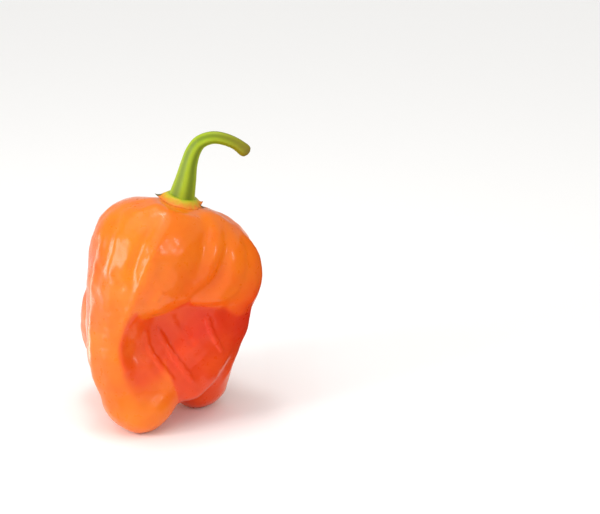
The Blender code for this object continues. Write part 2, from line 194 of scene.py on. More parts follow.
# Ripeness: how far the skin has turned from golden orange (0) to red (1), as a slope in each
# direction from a middle, and soft patches of (x, y, z, radius, change). Some patches also carry
# painted shade in their red and painted light in their gold, as marked below.
RIPE_MIDDLE = (0.0, 0.0, 27.0)
RIPE_AT_MIDDLE = 0.38
RIPE_SLOPE = (0.0, 0.0, -0.001)
RIPE_AND_PAINTED_LIGHT_PATCHES = {
    # Deep fold: partly its own red, partly painted shade under the lip.
    "deep fold": (4.0, -9.0, 22.0, 10.0, 0.14),
    "left edge": (-16.0, -8.0, 36.0, 10.0, 0.10),
    # Left hollow: takes back some of the fold's red and painted shade.
    "left hollow": (-7.0, -15.0, 22.0, 5.0, -0.12),
    # Right flank: partly its own red, partly painted shade on the side turned from the lamps.
    "right flank": (19.0, 0.0, 25.0, 11.0, 0.28),
    # Front foot: painted light, paler where the floor's bounce and reflection fall.
    "front foot": (-8.0, -18.0, 6.0, 9.0, -0.05),
    # Crown: partly its own gold, partly painted light on the top.
    "crown": (-4.0, -6.0, 52.0, 9.0, -0.08),
    # Back left: painted shade, deeper red on the hind lobe against the lamps' glare.
    "back left": (-18.0, 12.0, 24.0, 10.0, 0.2),
}

# The fold is redder and darker, partly its own red and partly painted shade under the lip: by how
# much, how soft the edge of the red is, and how soft it is round the hollow in the panel, where it
# also spreads a little past the cut
FOLD_RED_AND_SHADE = 0.22
FOLD_EDGE = 1.0
HOLLOW_EDGE = (2, [(10.0, 4.0), (20.0, 1.0)])
HOLLOW_SPREAD = 0.8

# The fold's red and painted shade fade out over this length: towards the back, where they end this
# share of the length behind the middle, up to the top's height, and down to the foot's
FOLD_REACH = 6.0
FOLD_DEPTH = 0.6
FOLD_TOP = 38.0
FOLD_FOOT = 5.0

# Calyx: a thin saucer laid over the crown, which is looked for down its axis, from this drop above
# its foot. Its dry teeth are (azimuth, reach, half width, lift), and the power rounds their tips.
CALYX_FOOT = (0.9, -0.2, 45.2)
CALYX_DROP = 12.0
CALYX_AXIS = (0.25, 0.03, 0.97)
CALYX_RADIUS = 4.8
CALYX_TEETH = [(-97, 1.4, 11, 0.9), (-62, 0.3, 16, 0.0), (-24, 0.2, 15, 0.0), (12, 0.3, 16, 0.0),
               (50, 0.4, 13, 0.0), (84, 1.2, 11, 0.2), (112, 0.6, 9, 0.9), (160, 0.9, 13, 0.3),
               (-163, 0.6, 12, 0.2), (-130, 0.8, 10, 1.0)]
TOOTH_POWER = 0.8
COLLAR_RADIUS = 3.2
COLLAR_HEIGHT = 1.3

# The ball that the calyx is made from: its lower half is laid on the skin and its upper half over it
CALYX_SEGMENTS = 200
CALYX_RINGS = 48

# Its rim: the thickness of a tooth, the share of that between teeth, the latitude on the ball at
# which it is reached, and the gap under it
RIM_THICKNESS = 0.5
THIN_SHARE = 0.25
RIM_LATITUDE = 25.0
SEAT_GAP = 0.02

# What has dried: from this share of the way out to the rim, on teeth longer than this
DRY_FROM = 0.7
DRY_TOOTH = 0.4

# Stem: (x, y, z, radius) along its middle, from the collar to the blunt end, which is rounded by
# (step, size) pairs in shares of its last radius
STEM_SINK = 0.35
STEM_BASE_RADIUS = 2.95
STEM = [(3.65, 0.0, 56.2, 2.35), (4.43, -0.1, 59.85, 1.9), (5.45, -0.25, 62.95, 1.7),
        (7.05, -0.4, 65.15, 1.55), (9.77, -0.6, 66.2, 1.43), (12.5, -0.8, 65.9, 1.38),
        (15.0, -0.9, 64.85, 1.36), (16.8, -1.0, 63.5, 1.5)]
STEM_SETTINGS = {"Ring spacing": 0.35 * MILLIMETRE, "Sides": 72, "Ribs": 5.0, "Rib depth": 0.035}
STEM_SHRINK = [(0.3, 0.97), (0.6, 0.85), (0.8, 0.62), (0.88, 0.35)]
WELD_DISTANCE = 0.001

# Sizes in the materials: clouds of uneven ripeness, and the grain of skin, calyx and stem, which
# is drawn coarser than their real cells so that it shows
SKIN_CLOUDS = 11.1
SKIN_GRAIN = 1.43
CALYX_GRAIN = 1.11
STEM_GRAIN = 0.833

# Camera: a long lens that looks a little down, from its distance to a place right of the pod
CAMERA_TARGET = (29.8, -0.08, 37.6)
CAMERA_DISTANCE = 550.0
CAMERA_ELEVATION = 20.0
SENSOR_WIDTH = 36.0
LENS = 145.2

# Lamps: soft boxes with their place, target, size and power in watts. Those for gloss alone draw
# highlights and leave the colours under them as they are.
LIGHTS = {
    "tall softbox": dict(place=(-220, -130, 115), target=(0, 0, 115), size=(90, 225), power=0.5,
                         gloss_only=False),
    "overhead box": dict(place=(-10, 10, 300), target=(0, 0, 50), size=(60, 60), power=0.14,
                         gloss_only=False),
    "right window": dict(place=(230, -190, 175), target=(0, 0, 40), size=(45, 90), power=0.12,
                         gloss_only=False),
    "left strip": dict(place=(-88, 18, 30), target=(0, -13, 30), size=(22, 60), power=0.022,
                       gloss_only=True),
    "floor strip": dict(place=(-55, 12, 0.6), target=(-50.4, 10, 50.6), size=(14, 60), power=0.02,
                        gloss_only=True),
}

# Wide, soft light from far away, each from a direction and over an angle in degrees
SUNS = {
    "overhead diffuser": dict(place=(-0.1, -0.2, 1.0), power=0.9, angle=60.0),
    "front fill": dict(place=(0.2, -0.9, 0.3), power=0.35, angle=60.0),
}
WORLD_BRIGHTNESS = 0.55

# Stage: the side of the floor, and a warm card that is bent from the floor up at the pod's right,
# with (x, z) of its bends and its reach in y
FLOOR_SIZE = 4000.0
CARD_BENDS = [(21.0, 0.3), (34.0, 0.3), (34.0, 52.0)]
CARD_REACH = (-40.0, 45.0)


# Shapes given by their distance


def join(a, b, blend):
    """Union of two distances, with a soft fillet about as wide as the blend."""
    near = np.maximum(blend - np.abs(a - b), 0.0) / blend
    return np.minimum(a, b) - near ** 3 * blend / 6


def scoop(a, b, blend):
    """Take shape b out of shape a, with the same soft fillet."""
    return -join(-a, b, blend)


def blend_at(points, blend):
    """The blend at each point, read off its (place, blend) pairs along one axis."""
    axis, pairs = blend
    return np.interp(points[:, axis], [pair[0] for pair in pairs], [pair[1] for pair in pairs])


def unit(vector):
    """The vector at length one."""
    vector = np.array(vector, dtype=float)
    return vector / np.linalg.norm(vector)


def outward(azimuth):
    """The level direction of an azimuth: 0 is the front (-Y) and 90 the right (+X)."""
    angle = np.radians(azimuth)
    return np.stack([np.sin(angle), -np.cos(angle), np.zeros_like(angle)], axis=-1)


def egg(points, top, tip, width, depth, facing=0.0):
    """Distance to an ellipsoid from top to tip, so wide across and so deep towards its facing."""
    top = np.array(top)
    tip = np.array(tip)
    along = unit(tip - top)
    across = unit(np.cross(along, outward(facing)))
    out = np.cross(across, along)
    local = (points - (top + tip) / 2) @ np.stack([across, out, along], axis=1)
    radii = np.array([width, depth, np.linalg.norm(tip - top) / 2])
    scaled = np.linalg.norm(local / radii, axis=1)
    slope = np.linalg.norm(local / radii ** 2, axis=1)
    return scaled * (scaled - 1) / np.maximum(slope, 1e-9)


def smooth_line(knots, steps):
    """A Catmull-Rom line through the knots, which may have any number of columns."""
    knots = np.array(knots, dtype=float)
    knots = np.vstack([2 * knots[0] - knots[1], knots, 2 * knots[-1] - knots[-2]])
    rows = []
    for before, start, end, after in zip(knots, knots[1:], knots[2:], knots[3:]):
        for t in np.linspace(0, 1, steps, endpoint=False):
            bend = (2 * before - 5 * start + 4 * end - after) * t ** 2
            twist = (3 * start - before - 3 * end + after) * t ** 3
            rows.append(0.5 * (2 * start + (end - before) * t + bend + twist))
    rows.append(knots[-2])
    return np.array(rows)


def limb(points, balls, steps=8):
    """Distance to what a ball fills as it travels through its (x, y, z, radius) places."""
    path = smooth_line(balls, steps)
    nearest = np.full(len(points), np.inf)
    for start, end in zip(path[:-1], path[1:]):
        step = end[:3] - start[:3]
        share = np.clip((points - start[:3]) @ step / (step @ step), 0, 1)
        away = np.linalg.norm(points - start[:3] - share[:, None] * step, axis=1)
        nearest = np.minimum(nearest, away - start[3] - share * (end[3] - start[3]))
    return nearest


# The pod


def inner_lobes(points):
    """The heart, the hind lobes, the right foot, and the web and pocket under the mantle's lip."""
    shape = egg(points, **HEART)
    shape = join(shape, limb(points, RIGHT_FOOT), HEART_BLEND)
    shape = join(shape, limb(points, BACK_LEFT), blend_at(points, HIND_BLEND))
    shape = join(shape, limb(points, BACK), HEART_BLEND)
    shape = join(shape, limb(points, FOLD), FOLD_BLEND)
    shape = join(shape, egg(points, **WEB), WEB_BLEND)
    return scoop(shape, limb(points, POCKET), POCKET_BLEND)


def panel(points):
    """The broad front panel and its foot, before the bay is scooped out of it."""
    return join(limb(points, FRONT_LEFT), egg(points, **FOOT), PANEL_BLEND)


def mantle(points):
    """The front panel, scooped out below its lip, with the dome and its rolled rim over it."""
    shape = scoop(panel(points), egg(points, **BAY), blend_at(points, BAY_BLEND))
    shape = scoop(shape, limb(points, CURL), blend_at(points, CURL_BLEND))
    shape = join(shape, egg(points, **DOME), blend_at(points, DOME_BLEND))
    return join(shape, limb(points, RIM), RIM_BLEND)


def shoulder(points):
    """The nose beside the mantle's rim, the side lobe and the bulk behind them."""
    shape = join(limb(points, NOSE), limb(points, SIDE), NOSE_BLEND)
    return join(shape, egg(points, **SHOULDER), BULK_BLEND)


def lobes(points):
    """Distance to the pod without its ribs and valleys, cut level where it stands."""
    shape = join(inner_lobes(points), mantle(points), blend_at(points, MANTLE_BLEND))
    shape = join(shape, shoulder(points), blend_at(points, SHOULDER_BLEND))
    shape = scoop(shape, egg(points, **DIMPLE), DIMPLE_BLEND)
    return scoop(shape, points[:, 2], FLOOR_BLEND)


def meet(shape, centre, rays, steps, share, least=0.0):
    """Points where rays from the centre meet the shape, found from outside in shares of its distance."""
    length = np.full(len(rays), RAY_REACH)
    for _ in range(steps):
        length = np.maximum(length - share * shape(centre + rays * length[:, None]), least)
    return centre + rays * length[:, None]


def lay_on_lobes(line, steps=5):
    """Points where level rays along the line's azimuths and heights meet the lobes."""
    line = smooth_line(line, steps)
    axis = np.stack([np.zeros(len(line)), np.zeros(len(line)), line[:, 1]], axis=1)
    return meet(lobes, axis, outward(line[:, 0]), steps=60, share=0.8)


def ease(share):
    """A smooth step from 0 to 1."""
    share = np.clip(share, 0, 1)
    return share * share * (3 - 2 * share)


def relief(points, path, rise, width, ends=RELIEF_FADE, beads=0.0):
    """How far a rib or valley along the path lifts the skin at each point."""
    lift = np.zeros(len(points))
    reach = RELIEF_REACH * width
    close = np.all((points > path.min(0) - reach) & (points < path.max(0) + reach), axis=1)
    picked = points[close]
    nearest = np.full(len(picked), np.inf)
    place = np.zeros(len(picked))
    for number, (start, end) in enumerate(zip(path[:-1], path[1:])):
        step = end - start
        share = np.clip((picked - start) @ step / (step @ step), 0, 1)
        away = np.linalg.norm(picked - start - share[:, None] * step, axis=1)
        place = np.where(away < nearest, (number + share) / (len(path) - 1), place)
        nearest = np.minimum(nearest, away)
    fade = ease(place / ends) * ease((1 - place) / ends)
    length = np.linalg.norm(np.diff(path, axis=0), axis=1).sum()
    beading = 1 + beads * np.sin(place * length / BEAD_LENGTH * math.tau)
    lift[close] = rise * fade * beading * np.exp(-(nearest / width) ** 2)
    return lift


def waves(points):
    """Small uneven swells all over the skin, from plane waves in seeded directions."""
    chance = np.random.default_rng(WAVE_SEED)
    total = np.zeros(len(points))
    for _ in range(WAVE_COUNT):
        direction = unit(chance.normal(size=3))
        length = chance.uniform(*WAVE_LENGTHS)
        phase = chance.uniform(0, math.tau)
        total += np.sin(points @ direction / length * math.tau + phase) * length
    return total * WAVE_SLOPE / math.tau


RELIEF_PATHS = {name: lay_on_lobes(entry["line"]) for name, entry in RELIEF.items()}


def skin(points):
    """Distance to the skin of the fruit as the solid has it."""
    shape = lobes(points)
    for name, entry in RELIEF.items():
        shape = shape - relief(points, RELIEF_PATHS[name], entry["rise"], entry["width"])
    return scoop(shape, points[:, 2], FLOOR_BLEND)


def slope_of(shape, points, step=0.02):
    """The shape's distance at the points and its gradient there."""
    here = shape(points)
    columns = [(shape(points + step * axis) - here) / step for axis in np.eye(3)]
    return here, np.stack(columns, axis=1)


def step_to_skin(here, slope, most=1.5):
    """The move that brings points with this distance and gradient on to the skin."""
    move = -here[:, None] * slope / np.maximum((slope ** 2).sum(1, keepdims=True), LEAST_SLOPE)
    length = np.linalg.norm(move, axis=1, keepdims=True)
    return move * np.minimum(1.0, most / np.maximum(length, 1e-9))


def lay_near(line, steps=6, moves=6):
    """A smooth line through places near the skin, drawn on to it."""
    points = smooth_line(line, steps)
    for _ in range(moves):
        points = points + step_to_skin(*slope_of(skin, points))
    return points


WRINKLE_PATHS = {name: lay_near(entry["line"]) for name, entry in WRINKLES.items()}


def fine_skin(points):
    """Distance to the skin with its fine wrinkles and swells."""
    shape = skin(points) + SKIN_INSET - waves(points)
    for name, entry in WRINKLES.items():
        rib = relief(points, WRINKLE_PATHS[name], entry["rise"], entry["width"], WRINKLE_FADE, BEAD_SHARE)
        shape = shape - rib
    return scoop(shape, points[:, 2], FLOOR_BLEND)


def first_of(a, b, edge=FOLD_EDGE):
    """A soft 1 where a is larger than b, and 0 where it is smaller."""
    return ease(0.5 + (a - b) / edge)


def in_fold(points):
    """How far each point lies inside the fold, under the mantle's lip: 0 outside it and 1 inside."""
    hollow = -np.minimum(egg(points, **BAY), limb(points, CURL))
    uncut = panel(points)
    cut = np.maximum(uncut, hollow)
    over = np.minimum(np.minimum(egg(points, **DOME), limb(points, RIM)), shoulder(points))
    inner = inner_lobes(points)
    in_hollow = first_of(hollow + HOLLOW_SPREAD, uncut, blend_at(points, HOLLOW_EDGE))
    in_hollow = in_hollow * first_of(over, cut) * first_of(inner, cut)
    behind = first_of(np.minimum(cut, over), inner)
    front = ease(FOLD_DEPTH - points[:, 1] / FOLD_REACH) * ease((FOLD_TOP - points[:, 2]) / FOLD_REACH)
    foot = ease((points[:, 2] - FOLD_FOOT) / FOLD_REACH)
    return np.clip(in_hollow * foot + behind * front, 0, 1)


def ripeness_and_painted_light(points):
    """How red the skin is at each point, from 0 to 1, with painted shade in the fold, on the right flank and
    at the back left, and painted light on the crown and the front foot.
    """
    ripe_and_painted_light = RIPE_AT_MIDDLE + (points - np.array(RIPE_MIDDLE)) @ np.array(RIPE_SLOPE)
    for x, y, z, radius, change in RIPE_AND_PAINTED_LIGHT_PATCHES.values():
        away = np.linalg.norm(points - np.array([x, y, z]), axis=1)
        ripe_and_painted_light = ripe_and_painted_light + change * np.exp(-(away / radius) ** 2)
    # The fold's red adds painted shade under the lip.
    return np.clip(ripe_and_painted_light + FOLD_RED_AND_SHADE * in_fold(points), 0, 1)


# Meshes


def blow_up(directions, edges):
    """Move a ball's points on to the skin and even out the net between them."""
    points = meet(skin, np.array(CUBE_CENTRE), directions, steps=30, share=0.85, least=0.5)
    degree = np.bincount(edges.ravel(), minlength=len(points))[:, None]
    for _ in range(EVEN_TURNS):
        total = np.zeros_like(points)
        np.add.at(total, edges[:, 0], points[edges[:, 1]])
        np.add.at(total, edges[:, 1], points[edges[:, 0]])
        here, slope = slope_of(skin, points)
        pull = total / degree - points
        squared = np.maximum((slope ** 2).sum(1, keepdims=True), LEAST_SLOPE)
        pull -= (pull * slope).sum(1, keepdims=True) * slope / squared
        points = points + EVEN_SHARE * pull + step_to_skin(here, slope)
    return points


def read_points(mesh):
    """The mesh's points as rows of millimetres in the plan's frame."""
    points = np.empty(len(mesh.vertices) * 3)
    mesh.vertices.foreach_get("co", points)
    return points.reshape(-1, 3) / MILLIMETRE + np.array(MIDDLE)


def write_points(mesh, points):
    """Give the mesh points in millimetres of the plan's frame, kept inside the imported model's box."""
    placed = np.clip((points - np.array(MIDDLE)) * MILLIMETRE, CAD_LOW, CAD_HIGH)
    mesh.vertices.foreach_set("co", placed.ravel())
    mesh.update()


def write_attribute(mesh, name, values):
    """Store one number for each of the mesh's points."""
    layer = mesh.attributes.new(name, "FLOAT", "POINT")
    layer.data.foreach_set("value", np.asarray(values, dtype=np.float32))


def add_object(name, mesh, material):
    """Link a smooth-shaded mesh with one material."""
    mesh.name = name
    mesh.shade_smooth()
    mesh.materials.clear()
    mesh.materials.append(material)
    piece = bpy.data.objects.new(name, mesh)
    bpy.context.scene.collection.objects.link(piece)
    return piece


def applied(piece):
    """The piece's mesh with its modifiers applied; the modifiers go."""
    graph = bpy.context.evaluated_depsgraph_get()
    mesh = bpy.data.meshes.new_from_object(piece.evaluated_get(graph))
    piece.modifiers.clear()
    return mesh


def faces_out(mesh):
    """Turn a closed mesh's faces outwards."""
    bm = bmesh.new()
    bm.from_mesh(mesh)
    bmesh.ops.recalc_face_normals(bm, faces=bm.faces)
    bm.to_mesh(mesh)
    bm.free()


def add_fruit(material):
    """The pod: a cube blown up on to the skin, split finer and laid on the fine skin."""
    bm = bmesh.new()
    bmesh.ops.create_cube(bm, size=2.0)
    bmesh.ops.subdivide_edges(bm, edges=bm.edges, cuts=CUBE_CUTS, use_grid_fill=True)
    directions = np.tan(np.array([vert.co for vert in bm.verts]) * math.pi / 4)
    directions /= np.linalg.norm(directions, axis=1, keepdims=True)
    edges = np.array([[vert.index for vert in edge.verts] for edge in bm.edges])
    mesh = bpy.data.meshes.new("fruit net")
    bm.to_mesh(mesh)
    bm.free()
    write_points(mesh, blow_up(directions, edges))

    net = add_object("fruit net", mesh, material)
    finer = net.modifiers.new("finer", "SUBSURF")
    finer.levels = FINER
    finer.render_levels = FINER
    mesh = applied(net)
    bpy.data.objects.remove(net)

    points = read_points(mesh)
    for _ in range(LANDING_STEPS):
        points = points + step_to_skin(*slope_of(fine_skin, points))
    points[points[:, 2] < FLAT_LIMIT, 2] = 0.0
    write_points(mesh, points)
    faces_out(mesh)
    # The attribute holds the skin's redness together with its painted shade and painted light.
    write_attribute(mesh, "ripeness_and_painted_light", ripeness_and_painted_light(points))
    return add_object("pepper_fruit", mesh, material)


def climb_to(shape, points, axis, level, steps=12, share=0.8):
    """Slide points along the axis until they are this far outside the shape."""
    for _ in range(steps):
        points = points + axis * (level - shape(points))[:, None] * share
    return points


def calyx_frame():
    """The calyx's seat on the skin, its axis and the two directions across it."""
    axis = unit(CALYX_AXIS)
    right = unit(np.cross(outward(0.0), -axis))
    front = np.cross(right, axis)
    seat = np.array([CALYX_FOOT]) + axis * CALYX_DROP
    seat = climb_to(skin, seat, axis, 0.0, steps=40)
    return seat[0], axis, right, front


def tooth_shapes(azimuths):
    """How far the teeth reach out and lift at each azimuth."""
    out = np.zeros_like(azimuths)
    up = np.zeros_like(azimuths)
    for middle, reach, half_width, lift in CALYX_TEETH:
        away = np.abs((azimuths - middle + 180) % 360 - 180) / half_width
        peak = np.maximum(1 - away, 0.0) ** TOOTH_POWER
        out += reach * peak
        up += lift * peak
    return out, up


def add_calyx(material):
    """The saucer, from a ball whose upper half is its top and whose lower half lies on the crown."""
    seat, axis, right, front = calyx_frame()
    bm = bmesh.new()
    bmesh.ops.create_uvsphere(bm, u_segments=CALYX_SEGMENTS, v_segments=CALYX_RINGS, radius=1.0)
    ball = np.array([vert.co for vert in bm.verts])
    azimuth = np.degrees(np.arctan2(ball[:, 0], -ball[:, 1]))
    latitude = np.arcsin(np.clip(ball[:, 2], -1, 1))
    reach = 1 - np.abs(latitude) / (math.pi / 2)
    tooth, tip_lift = tooth_shapes(azimuth)
    radius = reach * (CALYX_RADIUS + tooth * reach ** 2)
    angle = np.radians(azimuth)
    flat = seat + radius[:, None] * (np.sin(angle)[:, None] * right + np.cos(angle)[:, None] * front)
    lift = tip_lift * reach ** 4
    thickness = RIM_THICKNESS * (THIN_SHARE + (1 - THIN_SHARE) * np.clip(tooth, 0, 1))
    level = SEAT_GAP + lift + thickness * ease(latitude / math.radians(RIM_LATITUDE))
    points = climb_to(fine_skin, flat, axis, level)
    collar = np.where(latitude > 0, ease((CALYX_RADIUS - radius) / (CALYX_RADIUS - COLLAR_RADIUS)), 0.0)
    rise = COLLAR_HEIGHT - (points - seat) @ axis
    points = points + axis * (collar * rise)[:, None]
    mesh = bpy.data.meshes.new("calyx")
    bm.to_mesh(mesh)
    bm.free()
    write_points(mesh, points)
    faces_out(mesh)
    write_attribute(mesh, "spread", np.clip((radius - COLLAR_RADIUS) / (CALYX_RADIUS - COLLAR_RADIUS), 0, 2))
    write_attribute(mesh, "dry", ease((reach - DRY_FROM) / (1 - DRY_FROM)) * np.clip(tooth - DRY_TOOTH, 0, 1))
    return add_object("pepper_calyx", mesh, material)


def stem_tree(material):
    """The Geometry Nodes tree that sweeps a ribbed outline along a curve."""
    tree = bpy.data.node_groups.new("ribbed stem", "GeometryNodeTree")
    tree.interface.new_socket("Geometry", in_out="INPUT", socket_type="NodeSocketGeometry")
    tree.interface.new_socket("Ring spacing", in_out="INPUT", socket_type="NodeSocketFloat")
    tree.interface.new_socket("Sides", in_out="INPUT", socket_type="NodeSocketInt")
    tree.interface.new_socket("Ribs", in_out="INPUT", socket_type="NodeSocketFloat")
    tree.interface.new_socket("Rib depth", in_out="INPUT", socket_type="NodeSocketFloat")
    tree.interface.new_socket("Geometry", in_out="OUTPUT", socket_type="NodeSocketGeometry")
    given = add_node(tree, "NodeGroupInput").outputs

    rings = add_node(tree, "GeometryNodeResampleCurve",
                     {"Curve": given["Geometry"], "Length": given["Ring spacing"]}, mode="LENGTH")
    along = add_node(tree, "GeometryNodeSplineParameter")
    marked = add_node(tree, "GeometryNodeStoreNamedAttribute",
                      {"Geometry": rings.outputs[0], "Name": "along", "Value": along.outputs["Factor"]},
                      data_type="FLOAT", domain="POINT")

    circle = add_node(tree, "GeometryNodeCurvePrimitiveCircle", {"Resolution": given["Sides"], "Radius": 1.0})
    place = add_node(tree, "GeometryNodeSplineParameter")
    turn = add_node(tree, "ShaderNodeMath", {0: place.outputs["Factor"], 1: math.tau}, operation="MULTIPLY")
    ribs = add_node(tree, "ShaderNodeMath", {0: turn.outputs[0], 1: given["Ribs"]}, operation="MULTIPLY")
    wave = add_node(tree, "ShaderNodeMath", {0: ribs.outputs[0]}, operation="COSINE")
    ridge = add_node(tree, "GeometryNodeStoreNamedAttribute",
                     {"Geometry": circle.outputs["Curve"], "Name": "ridge", "Value": wave.outputs[0]},
                     data_type="FLOAT", domain="POINT")
    depth = add_node(tree, "ShaderNodeMath",
                     {0: wave.outputs[0], 1: given["Rib depth"]}, operation="MULTIPLY")
    spot = add_node(tree, "GeometryNodeInputPosition")
    push = add_node(tree, "ShaderNodeVectorMath",
                    {0: spot.outputs[0], "Scale": depth.outputs[0]}, operation="SCALE")
    outline = add_node(tree, "GeometryNodeSetPosition",
                       {"Geometry": ridge.outputs[0], "Offset": push.outputs[0]})

    radius = add_node(tree, "GeometryNodeInputRadius")
    swept = add_node(tree, "GeometryNodeCurveToMesh",
                     {"Curve": marked.outputs[0], "Profile Curve": outline.outputs[0],
                      "Scale": radius.outputs[0], "Fill Caps": True})
    real = add_node(tree, "GeometryNodeRealizeInstances", {"Geometry": swept.outputs[0]})
    dressed = add_node(tree, "GeometryNodeSetMaterial", {"Geometry": real.outputs[0], "Material": material})
    add_node(tree, "NodeGroupOutput", {"Geometry": dressed.outputs[0]})
    return tree


def stem_places():
    """The stem's middle line with its radii, sunk into the collar and rounded at its end."""
    seat, axis, _, _ = calyx_frame()
    base = seat + axis * (COLLAR_HEIGHT - STEM_SINK)
    rows = [(*base, STEM_BASE_RADIUS), *STEM]
    line = smooth_line(rows, steps=8)
    ahead = unit(line[-1, :3] - line[-2, :3])
    end = line[-1, :3]
    radius = line[-1, 3]
    cap = [(*(end + ahead * radius * step), radius * size) for step, size in STEM_SHRINK]
    return np.vstack([line, cap])


def add_stem(material):
    """The bent stem, swept by the Geometry Nodes tree and then made a plain mesh."""
    places = stem_places()
    curve = bpy.data.curves.new("stem path", "CURVE")
    curve.dimensions = "3D"
    spline = curve.splines.new("POLY")
    spline.points.add(len(places) - 1)
    for point, (x, y, z, radius) in zip(spline.points, places):
        point.co = (*((Vector((x, y, z)) - Vector(MIDDLE)) * MILLIMETRE), 1.0)
        point.radius = radius * MILLIMETRE
    path = bpy.data.objects.new("stem path", curve)
    bpy.context.scene.collection.objects.link(path)
    tree = stem_tree(material)
    sweep = path.modifiers.new("sweep", "NODES")
    sweep.node_group = tree
    for item in tree.interface.items_tree:
        if item.in_out == "INPUT" and item.name in STEM_SETTINGS:
            sweep[item.identifier] = STEM_SETTINGS[item.name]
    mesh = applied(path)
    bpy.data.objects.remove(path)
    bm = bmesh.new()
    bm.from_mesh(mesh)
    bmesh.ops.remove_doubles(bm, verts=bm.verts, dist=WELD_DISTANCE * MILLIMETRE)
    bmesh.ops.recalc_face_normals(bm, faces=bm.faces)
    bm.to_mesh(mesh)
    bm.free()
    write_points(mesh, read_points(mesh))
    return add_object("pepper_stem", mesh, material)


# Materials


def linear(code):
    """The linear colour of an sRGB hex code, with alpha."""
    shares = [int(code[place:place + 2], 16) / 255 for place in (1, 3, 5)]
    straight = [share / 12.92 if share <= 0.04045 else ((share + 0.055) / 1.055) ** 2.4 for share in shares]
    return (*straight, 1.0)


def add_node(tree, kind, inputs=None, stops=None, **settings):
    """A node with its settings; an input takes a value or is linked where it is given a socket."""
    node = tree.nodes.new(kind)
    for name, value in settings.items():
        setattr(node, name, value)
    for name, value in (inputs or {}).items():
        if isinstance(value, bpy.types.NodeSocket):
            tree.links.new(value, node.inputs[name])
        else:
            node.inputs[name].default_value = value
    if stops:
        ramp = node.color_ramp
        while len(ramp.elements) < len(stops):
            ramp.elements.new(1.0)
        for element, (place, code) in zip(ramp.elements, stops):
            element.position = place
            element.color = linear(code)
    return node


def scale_for(size):
    """The scale at which a noise has patches of about this size in millimetres."""
    return 1 / (size * MILLIMETRE)


def new_material(name):
    """An empty node material and its tree."""
    material = bpy.data.materials.new(name)
    material.use_nodes = True
    material.node_tree.nodes.clear()
    return material, material.node_tree


def fruit_material():
    """Waxy pepper skin: a smooth cuticle over translucent flesh, so soft red glow under a sharp gloss."""
    material, tree = new_material("Waxy habanero skin")
    # The redness read here also carries painted shade in the fold, on the right flank and at the back left,
    # and painted light on the crown and front foot.
    ripe_and_painted_light = add_node(tree, "ShaderNodeAttribute", attribute_name="ripeness_and_painted_light")
    place = add_node(tree, "ShaderNodeTexCoord").outputs["Object"]
    clouds = add_node(tree, "ShaderNodeTexNoise",
                      {"Vector": place, "Scale": scale_for(SKIN_CLOUDS), "Detail": 3.0, "Roughness": 0.5})
    shift = add_node(tree, "ShaderNodeMapRange",
                     {"Value": clouds.outputs["Fac"], "From Min": 0.3, "From Max": 0.7,
                      "To Min": -0.08, "To Max": 0.08})
    total = add_node(tree, "ShaderNodeMath", {0: ripe_and_painted_light.outputs["Fac"], 1: shift.outputs[0]}, operation="ADD")
    # The ramp's darker red end shows the painted shade, and its golden end the painted light.
    colour = add_node(tree, "ShaderNodeValToRGB", {"Fac": total.outputs[0]},
                      stops=[(0.0, "#f08f1c"), (0.35, "#ea7008"), (0.6, "#e44a02"), (0.8, "#d62e02"),
                             (1.0, "#ba1a02")])
    fine = add_node(tree, "ShaderNodeTexNoise",
                    {"Vector": place, "Scale": scale_for(SKIN_GRAIN), "Detail": 3.0, "Roughness": 0.55})
    dull = add_node(tree, "ShaderNodeMapRange",
                    {"Value": fine.outputs["Fac"], "From Min": 0.3, "From Max": 0.7,
                     "To Min": 0.26, "To Max": 0.36})
    bump = add_node(tree, "ShaderNodeBump",
                    {"Height": fine.outputs["Fac"], "Strength": 0.05, "Distance": 0.3 * MILLIMETRE})
    shader = add_node(tree, "ShaderNodeBsdfPrincipled",
                      {"Base Color": colour.outputs["Color"], "Roughness": dull.outputs[0], "IOR": 1.34,
                       "Subsurface Weight": 0.15, "Subsurface Radius": (1.0, 0.25, 0.05),
                       "Subsurface Scale": 1.5 * MILLIMETRE, "Coat Weight": 0.3, "Coat Roughness": 0.1,
                       "Coat IOR": 1.4, "Normal": bump.outputs["Normal"]})
    add_node(tree, "ShaderNodeOutputMaterial", {"Surface": shader.outputs[0]})
    return material


def calyx_material():
    """Drying calyx: green at the stem, gold where it dies back, and brown, dull teeth."""
    material, tree = new_material("Drying calyx tissue")
    spread = add_node(tree, "ShaderNodeAttribute", attribute_name="spread")
    dry = add_node(tree, "ShaderNodeAttribute", attribute_name="dry")
    place = add_node(tree, "ShaderNodeTexCoord").outputs["Object"]
    clouds = add_node(tree, "ShaderNodeTexNoise",
                      {"Vector": place, "Scale": scale_for(CALYX_GRAIN), "Detail": 3.0, "Roughness": 0.6})
    shift = add_node(tree, "ShaderNodeMapRange",
                     {"Value": clouds.outputs["Fac"], "From Min": 0.3, "From Max": 0.7,
                      "To Min": -0.2, "To Max": 0.2})
    total = add_node(tree, "ShaderNodeMath", {0: spread.outputs["Fac"], 1: shift.outputs[0]}, operation="ADD")
    colour = add_node(tree, "ShaderNodeValToRGB", {"Fac": total.outputs[0]},
                      stops=[(0.0, "#a3ad14"), (0.3, "#c8ae14"), (0.65, "#d8921c"), (1.0, "#ea7a1a")])
    tooth = add_node(tree, "ShaderNodeMapRange",
                     {"Value": dry.outputs["Fac"], "From Min": 0.05, "From Max": 0.35})
    mixed = add_node(tree, "ShaderNodeMix",
                     {"Factor": tooth.outputs[0], "A": colour.outputs["Color"], "B": linear("#5d5210")},
                     data_type="RGBA")
    bump = add_node(tree, "ShaderNodeBump",
                    {"Height": clouds.outputs["Fac"], "Strength": 0.4, "Distance": 0.4 * MILLIMETRE})
    shader = add_node(tree, "ShaderNodeBsdfPrincipled",
                      {"Base Color": mixed.outputs["Result"], "Roughness": 0.55, "IOR": 1.45,
                       "Normal": bump.outputs["Normal"]})
    add_node(tree, "ShaderNodeOutputMaterial", {"Surface": shader.outputs[0]})
    return material


